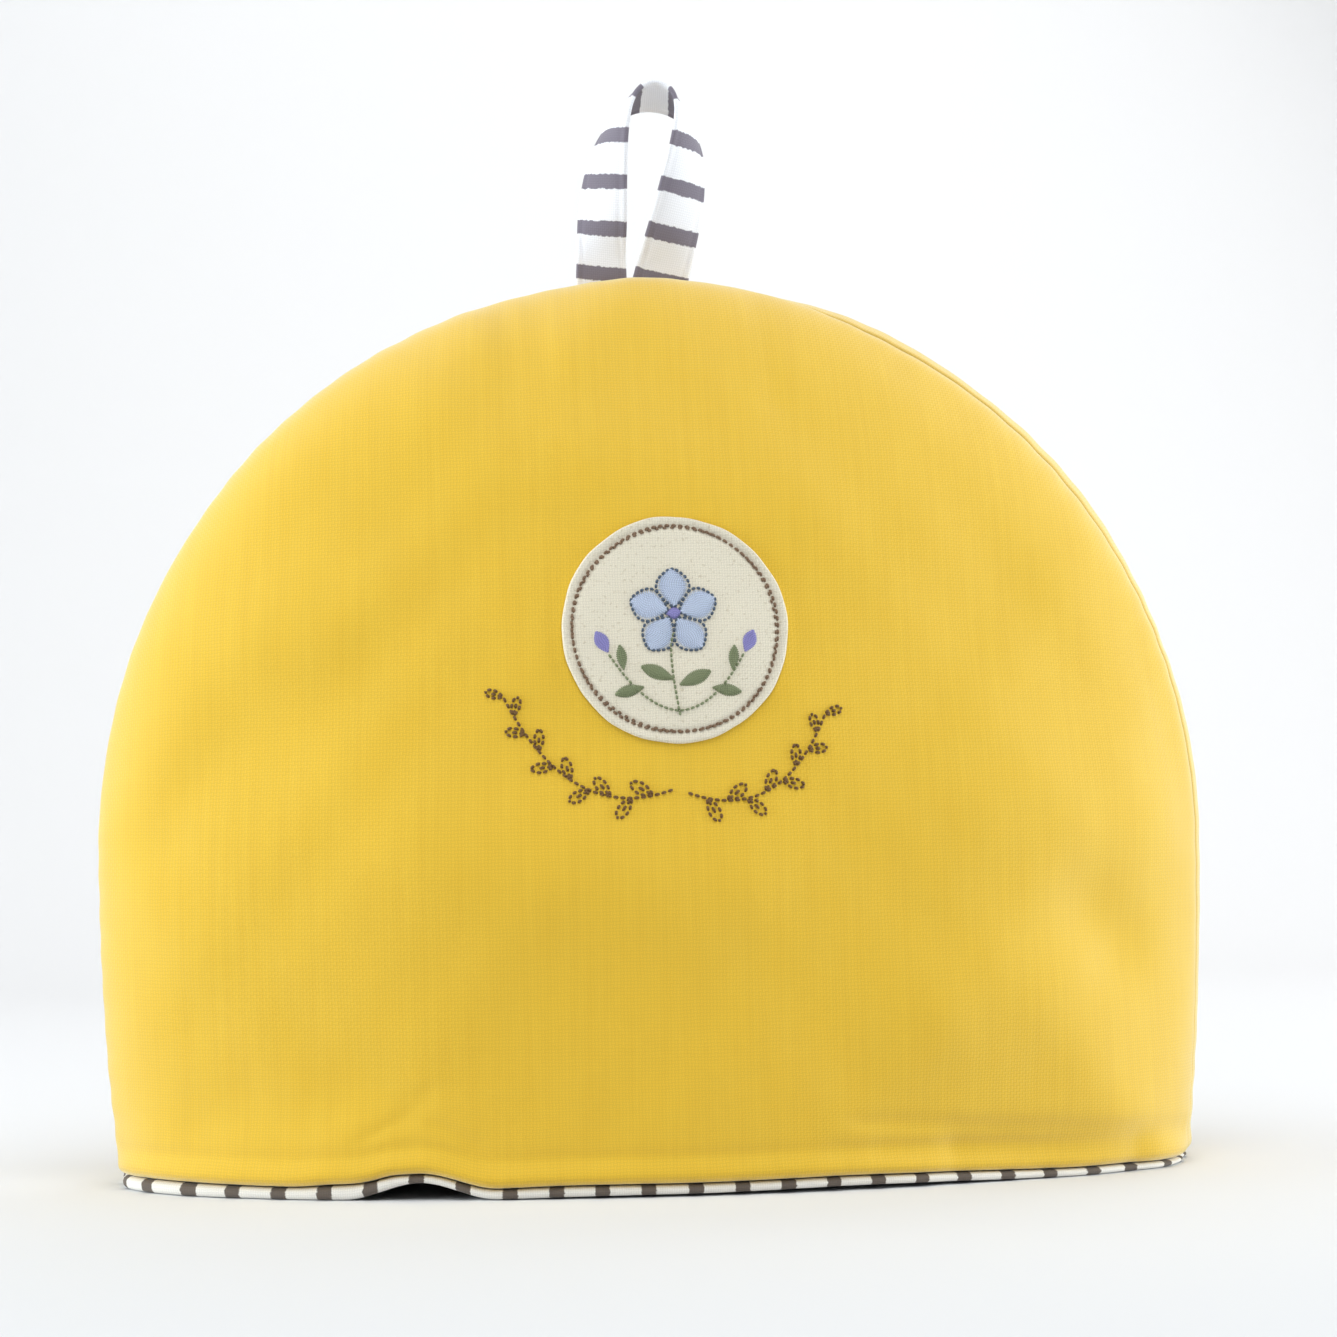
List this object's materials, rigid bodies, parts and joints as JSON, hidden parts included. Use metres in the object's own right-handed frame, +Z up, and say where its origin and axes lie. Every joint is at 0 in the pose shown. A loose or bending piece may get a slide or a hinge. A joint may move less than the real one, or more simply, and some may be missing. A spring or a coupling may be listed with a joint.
{
  "type": "tea cosy",
  "caption": "Padded mustard cloth tea cosy, open below, with an arched seam, a striped cotton edge at the hem, a folded striped loop on top and a round sewn patch",
  "frame": {"origin": "on the table, under the middle of the cosy's box", "axes": "+X is to the right for someone who looks at the front, -Y is out of the front, +Z is up"},
  "size_m": [0.3396, 0.1313, 0.3343],
  "materials": {
    "mustard_cloth": "matte",
    "striped_cotton": "matte",
    "cream_patch": "matte"
  },
  "bodies": {
    "root": {"front_panel": "mustard_cloth", "back_panel": "mustard_cloth", "hem_band": "striped_cotton", "loop": "striped_cotton", "badge": "cream_patch"}
  },
  "joints": []
}
